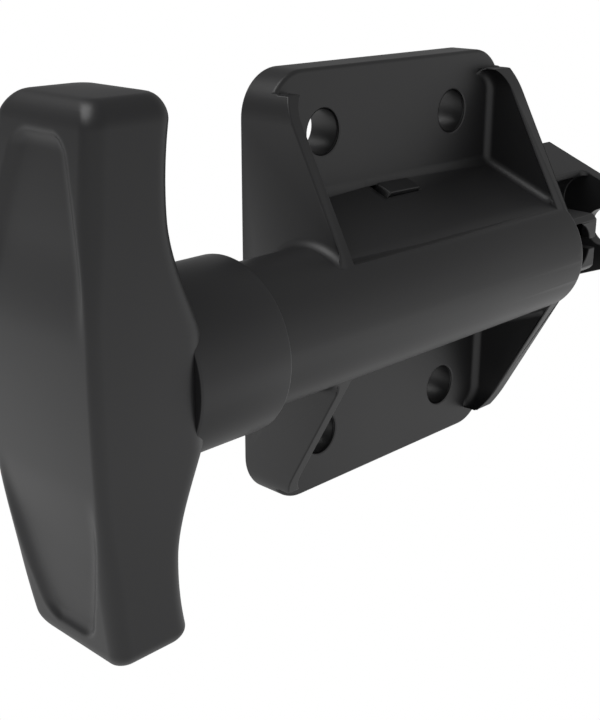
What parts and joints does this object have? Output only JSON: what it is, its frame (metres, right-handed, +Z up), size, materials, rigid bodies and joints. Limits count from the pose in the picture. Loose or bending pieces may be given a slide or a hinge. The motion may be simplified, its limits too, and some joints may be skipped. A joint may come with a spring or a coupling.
{
  "type": "t-handle latch actuator",
  "caption": "Pull T-handle on a sprung rod in a gusseted screw-on bracket; a square slider at its rear pulls a release cable through an end stop.",
  "frame": {"origin": "centre of the four screw holes, on the mounting face of the bracket", "axes": "+X out of the mounting face, towards the barrel; +Y along the barrel, from the handle to the cable end; +Z up along the T-handle's grip"},
  "size_m": [0.0387, 0.183, 0.102],
  "materials": {
    "bracket_plastic": "satin black moulding, glass-filled nylon",
    "handle_plastic": "satin black moulding, glass-filled nylon",
    "insert_plastic": "satin black moulding, acetal",
    "slider_plastic": "satin black moulding, acetal",
    "bush_plastic": "natural acetal, smooth",
    "brass": "machined",
    "steel": "ground bright bar",
    "zinc_steel": "zinc plated",
    "spring_steel": "drawn and oiled",
    "rubber": "moulded black"
  },
  "bodies": {
    "housing": {"mount_bracket": "bracket_plastic", "rod_wiper": "rubber", "front_bush": "bush_plastic", "front_washer": "zinc_steel", "return_spring": "spring_steel", "rear_insert": "insert_plastic"},
    "handle": {"t_handle": "handle_plastic", "threaded_insert": "brass", "pull_rod": "steel", "lock_washer": "zinc_steel", "jam_nut": "zinc_steel", "rest_buffer": "rubber", "stop_sleeve": "bush_plastic", "stop_ring": "rubber", "rear_washer": "zinc_steel", "cable_slider": "slider_plastic", "slider_pin": "spring_steel"}
  },
  "joints": [
    {"name": "handle_pull", "type": "slide", "parent": "housing", "child": "handle", "axis": [0, -1, 0], "range_m": [0, 0.025], "stiffness_N_per_m": 400, "springref_m": -0.03, "deforming": ["return_spring"]}
  ]
}
